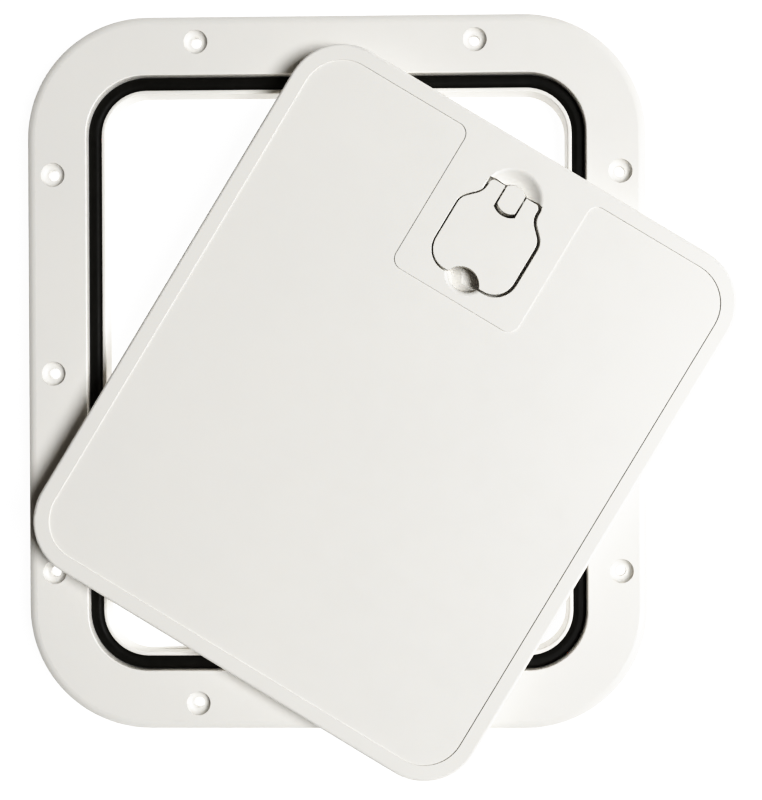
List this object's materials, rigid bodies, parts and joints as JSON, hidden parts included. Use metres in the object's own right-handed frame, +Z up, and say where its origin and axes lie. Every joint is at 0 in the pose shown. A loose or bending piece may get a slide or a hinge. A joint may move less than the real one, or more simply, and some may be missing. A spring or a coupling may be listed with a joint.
{
  "type": "deck hatch",
  "caption": "Removable-lid deck hatch: a screw-down flange frame with a rubber seal, and a loose rectangular lid with a flush lift-and-turn latch.",
  "frame": {"origin": "centre of the frame and of its side screw holes, on the plane of the flange's underside, which beds on the deck", "axes": "+Z up out of the deck, +Y towards the latch side of the frame along its long side, +X to the right seen from above"},
  "size_m": [0.3689, 0.3988, 0.03],
  "materials": {
    "frame_plastic": "satin moulded, warm white",
    "lid_plastic": "satin moulded, warm white",
    "liner_plastic": "plain moulded, warm white",
    "latch_plastic": "satin moulded, warm white",
    "tongue_plastic": "filled nylon, pale grey",
    "bush_plastic": "black acetal",
    "cam_plastic": "glass-filled nylon, grey",
    "seal_rubber": "soft black rubber with a dull sheen",
    "stainless": "plain stainless"
  },
  "bodies": {
    "frame_body": {"frame": "frame_plastic", "frame_seal": "seal_rubber"},
    "lid_body": {"lid_cover": "lid_plastic", "lid_liner": "liner_plastic", "liner_screws": "stainless", "tongue_left": "tongue_plastic", "tongue_right": "tongue_plastic", "tongue_screws": "stainless", "spindle_seal": "seal_rubber", "spindle_bush": "bush_plastic", "spindle_clip": "stainless", "latch_spindle": "latch_plastic"},
    "paddle_body": {"paddle": "latch_plastic", "paddle_pin": "stainless"},
    "cam_body": {"cam": "cam_plastic", "cam_washer": "stainless", "cam_lock_washer": "stainless", "cam_screw": "stainless"}
  },
  "joints": [
    {"name": "lid_lift", "type": "slide", "parent": "frame_body", "child": "lid_body", "axis": [0, 0, 1], "range_m": [0, 0.25]},
    {"name": "paddle_lift", "type": "hinge", "parent": "lid_body", "child": "paddle_body", "pos_m": [0.09088, 0.08749, 0.017], "axis": [-0.8545, 0.5195, 0], "range_deg": [0, 90]},
    {"name": "cam_turn", "type": "hinge", "parent": "lid_body", "child": "cam_body", "pos_m": [0.09088, 0.08749, 0.0029], "axis": [0, 0, 1], "range_deg": [0, 90]}
  ]
}
